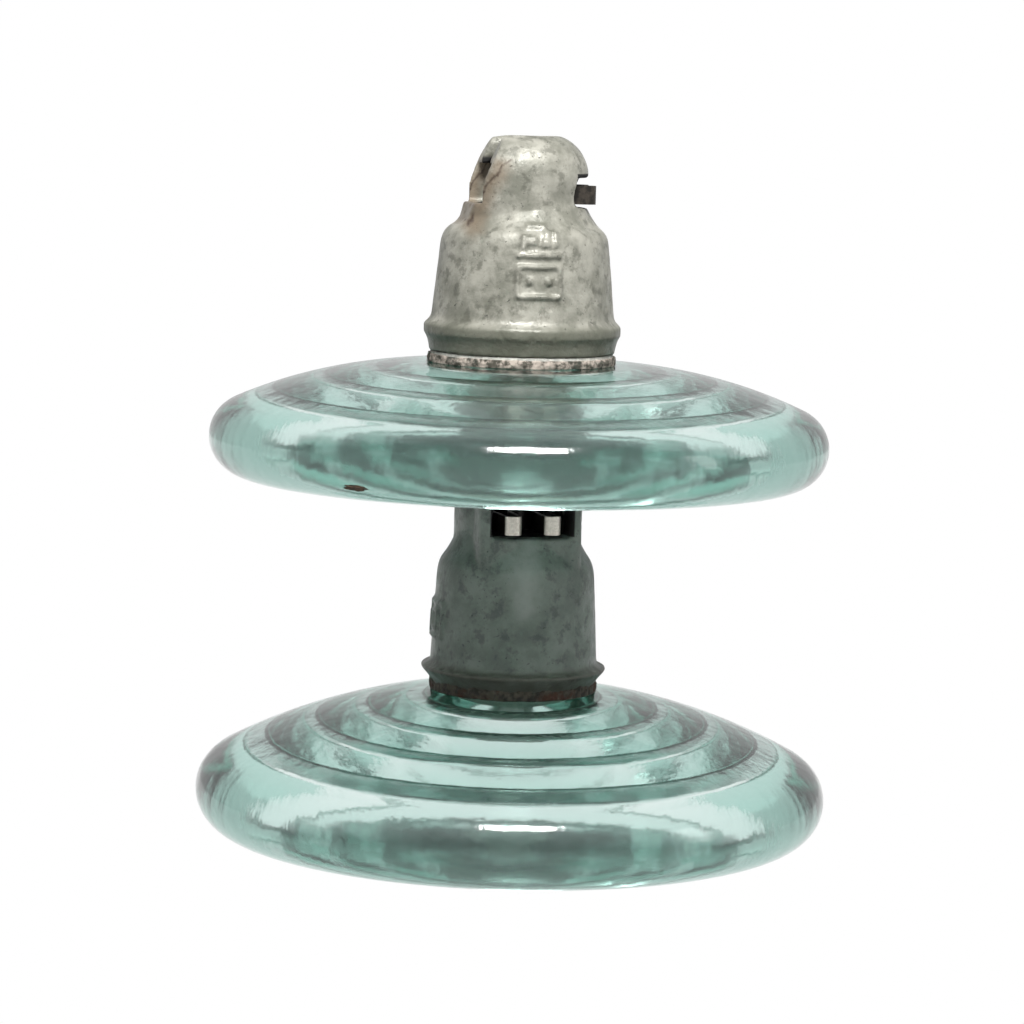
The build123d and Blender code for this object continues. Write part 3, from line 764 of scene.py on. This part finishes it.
def by_ray(nodes, links, plain, pale, white):
    """A shader that is white to the camera, pale in glass and metal, and plain to all else."""
    path = nodes.new("ShaderNodeLightPath")
    mirrored = nodes.new("ShaderNodeMath")
    mirrored.operation = "MAXIMUM"
    links.new(path.outputs["Is Glossy Ray"], mirrored.inputs[0])
    links.new(path.outputs["Is Transmission Ray"], mirrored.inputs[1])
    room = nodes.new("ShaderNodeMixShader")
    links.new(mirrored.outputs["Value"], room.inputs["Fac"])
    links.new(plain, room.inputs[1])
    links.new(pale, room.inputs[2])
    mix = nodes.new("ShaderNodeMixShader")
    links.new(path.outputs["Is Camera Ray"], mix.inputs["Fac"])
    links.new(room.outputs["Shader"], mix.inputs[1])
    links.new(white, mix.inputs[2])
    return mix.outputs["Shader"]


def white_surround():
    """A white backdrop, which glass and metal show as a pale grey room, and a soft light all round."""
    world = bpy.data.worlds.new("studio")
    bpy.context.scene.world = world
    world.use_nodes = True
    nodes, links = world.node_tree.nodes, world.node_tree.links
    nodes.clear()
    output = nodes.new("ShaderNodeOutputWorld")
    soft = nodes.new("ShaderNodeBackground")
    soft.inputs["Color"].default_value = (1.0, 1.0, 1.0, 1.0)
    soft.inputs["Strength"].default_value = SOFT_LIGHT
    pale = shown_as(nodes, "ShaderNodeBackground", PALE_ROOM)
    white = shown_as(nodes, "ShaderNodeBackground", 1.0)
    links.new(by_ray(nodes, links, soft.outputs[0], pale, white), output.inputs["Surface"])


def floor_paint():
    """White paint that the camera and the glass see as the white of the surround."""
    material = bpy.data.materials.new("floor_paint")
    nodes, links, output = nodes_of(material)
    paint = nodes.new("ShaderNodeBsdfDiffuse")
    paint.inputs["Color"].default_value = (FLOOR_PAINT, FLOOR_PAINT, FLOOR_PAINT, 1.0)
    pale = shown_as(nodes, "ShaderNodeEmission", PALE_FLOOR)
    white = shown_as(nodes, "ShaderNodeEmission", 1.0)
    links.new(by_ray(nodes, links, paint.outputs["BSDF"], pale, white), output.inputs["Surface"])
    return material


def soft_box(name, place, aim, width, height, power):
    """A soft box in metres and watts, aimed at a point."""
    light = bpy.data.lights.new(name, "AREA")
    light.shape = "RECTANGLE"
    light.size = width
    light.size_y = height
    light.energy = power
    lamp = bpy.data.objects.new(name, light)
    bpy.context.scene.collection.objects.link(lamp)
    lamp.location = place
    lamp.rotation_euler = (Vector(aim) - Vector(place)).to_track_quat("-Z", "Y").to_euler()


def set_camera():
    """A long lens a little above the upper disc, turned off the string's own front."""
    data = bpy.data.cameras.new("camera")
    data.lens = CAMERA_LENS
    data.clip_end = 20.0
    camera = bpy.data.objects.new("camera", data)
    bpy.context.scene.collection.objects.link(camera)
    turn = radians(CAMERA_AZIMUTH)
    camera.location = (CAMERA_DISTANCE * sin(turn), -CAMERA_DISTANCE * cos(turn), CAMERA_HEIGHT)
    heading = Matrix.Rotation(turn + radians(CAMERA_YAW), 4, "Z")
    tilt = Matrix.Rotation(radians(90 - CAMERA_PITCH), 4, "X")
    roll = Matrix.Rotation(radians(CAMERA_ROLL), 4, "Z")
    camera.rotation_euler = (heading @ tilt @ roll).to_euler()
    bpy.context.scene.camera = camera


white_surround()
soft_box("key", (-0.08, -1.05, 1.35), (0, 0, -0.1), width=0.7, height=0.45, power=50)
soft_box("side", (1.6, -0.9, 0.3), (0, 0, -0.15), width=0.3, height=1.0, power=3)
set_camera()

floor_mesh = bmesh.new()
bmesh.ops.create_grid(floor_mesh, x_segments=1, y_segments=1, size=FLOOR_REACH,
                      matrix=Matrix.Translation((0, 0, FLOOR_LEVEL)))
floor = finished("floor", floor_mesh, smooth=False)
floor.data.materials.append(floor_paint())

bpy.context.scene.view_settings.view_transform = "Standard"
